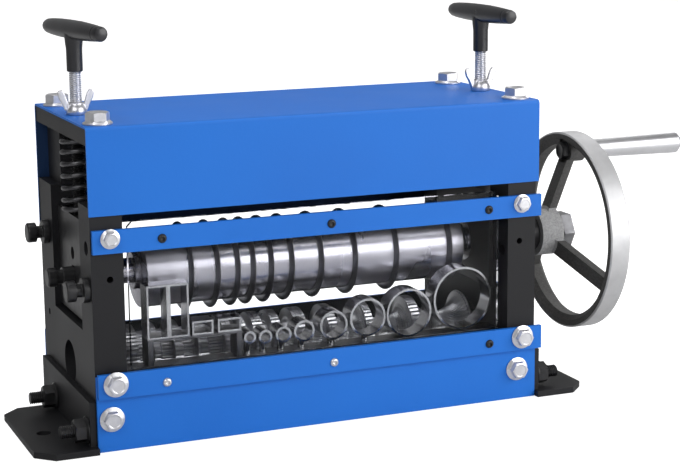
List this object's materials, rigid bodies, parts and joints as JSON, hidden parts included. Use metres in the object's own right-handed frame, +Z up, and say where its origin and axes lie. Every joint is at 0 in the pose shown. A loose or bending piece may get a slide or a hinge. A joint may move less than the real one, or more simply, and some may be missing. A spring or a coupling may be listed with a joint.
{
  "type": "hand crank wire stripper",
  "caption": "Hand crank wire stripping machine: framed blade shaft over a grooved feed roller, guide tubes, feed screws, handwheel, folded cover and clear window.",
  "frame": {"origin": "midpoint between the two bench bolt holes, on the floor", "axes": "+X along the rollers towards the handwheel, +Y to the back, +Z up"},
  "size_m": [0.4853, 0.147, 0.256],
  "materials": {
    "blue_paint": "satin powder coat",
    "black_paint": "satin black",
    "black_oxide": "black oxide, low gloss",
    "zinc": "bright zinc plate",
    "bearing_steel": "ground steel with shields",
    "roller_steel": "turned and polished",
    "blade_steel": "ground tool steel",
    "guide_steel": "polished stainless tube",
    "spring_steel": "dark oiled spring wire",
    "clear_acrylic": "clear polished plate",
    "cast_iron": "cast, grey",
    "polished_steel": "bright polished steel",
    "black_plastic": "moulded, satin",
    "rail_steel": "milled"
  },
  "bodies": {
    "frame": {"top_cover": "blue_paint", "upper_front_bar": "blue_paint", "lower_front_bar": "blue_paint", "lower_front_panel": "blue_paint", "rear_lower_panel": "blue_paint", "end_plate_left": "black_paint", "end_plate_right": "black_paint", "bridge_plate_left": "black_paint", "bridge_plate_right": "black_paint", "foot_left": "black_paint", "foot_right": "black_paint", "leg_collar_bolts": "black_oxide", "window_screws_upper": "black_oxide", "foot_bolts_left": "black_oxide", "foot_bolts_right": "black_oxide", "cover_bolts": "zinc", "upper_bar_bolts": "zinc", "lower_bar_bolts": "zinc", "panel_bolts": "zinc", "rear_panel_bolts": "zinc", "window_screws_lower": "zinc", "lower_bearing_left": "bearing_steel", "lower_bearing_right": "bearing_steel", "tall_guide_pair": "guide_steel", "low_guide_1": "guide_steel", "low_guide_2": "guide_steel", "guide_tube_1": "guide_steel", "guide_tube_2": "guide_steel", "guide_tube_3": "guide_steel", "guide_tube_4": "guide_steel", "guide_tube_5": "guide_steel", "guide_tube_6": "guide_steel", "guide_tube_7": "guide_steel", "guide_tube_8": "guide_steel", "spring_left": "spring_steel", "spring_right": "spring_steel", "front_window": "clear_acrylic", "guide_rail": "rail_steel", "guide_shelf": "rail_steel"},
    "feed_roller_body": {"feed_roller": "roller_steel"},
    "carriage": {"bearing_block_left": "black_oxide", "bearing_block_right": "black_oxide", "upper_bearing_left": "bearing_steel", "upper_bearing_right": "bearing_steel"},
    "blade_shaft_body": {"blade_shaft": "roller_steel", "spacer_sleeves": "roller_steel", "slitting_blades": "blade_steel", "stack_lock_nut": "roller_steel", "drive_collar": "black_oxide", "handwheel": "cast_iron", "handwheel_nut": "zinc", "crank_pin": "cast_iron"},
    "crank_handle": {"crank_grip": "polished_steel"},
    "left_feed_screw": {"feed_screw_left": "zinc", "grip_left": "black_plastic"},
    "right_feed_screw": {"feed_screw_right": "zinc", "grip_right": "black_plastic"},
    "left_wing_nut": {"wing_nut_left": "zinc"},
    "right_wing_nut": {"wing_nut_right": "zinc"}
  },
  "joints": [
    {"name": "carriage_slide", "type": "slide", "parent": "frame", "child": "carriage", "axis": [0, 0, 1], "range_m": [-0.0015, 0.02], "deforming": ["spring_left", "spring_right"]},
    {"name": "crank_turn", "type": "hinge", "parent": "carriage", "child": "blade_shaft_body", "pos_m": [0, 0.0215, 0.097], "axis": [1, 0, 0], "continuous": true},
    {"name": "crank_grip_spin", "type": "hinge", "parent": "blade_shaft_body", "child": "crank_handle", "pos_m": [0.258, 0.0215, 0.153], "axis": [1, 0, 0], "continuous": true},
    {"name": "feed_roller_turn", "type": "hinge", "parent": "frame", "child": "feed_roller_body", "pos_m": [0, 0.0215, 0.0416], "axis": [1, 0, 0], "continuous": true},
    {"name": "left_screw_turn", "type": "hinge", "parent": "carriage", "child": "left_feed_screw", "pos_m": [-0.139, 0.0215, 0.18], "axis": [0, 0, 1], "range_deg": [-432, 5760]},
    {"name": "right_screw_turn", "type": "hinge", "parent": "carriage", "child": "right_feed_screw", "pos_m": [0.139, 0.0215, 0.18], "axis": [0, 0, 1], "range_deg": [-432, 5760]},
    {"name": "left_wing_turn", "type": "hinge", "parent": "frame", "child": "left_wing_nut", "pos_m": [-0.139, 0.0215, 0.2], "axis": [0, 0, 1], "range_deg": [0, 180]},
    {"name": "right_wing_turn", "type": "hinge", "parent": "frame", "child": "right_wing_nut", "pos_m": [0.139, 0.0215, 0.2], "axis": [0, 0, 1], "range_deg": [0, 180]}
  ],
  "couplings": [
    {"joint": "left_screw_turn", "follows": "carriage_slide", "rad_per_m": 5026.5},
    {"joint": "right_screw_turn", "follows": "carriage_slide", "rad_per_m": 5026.5}
  ]
}
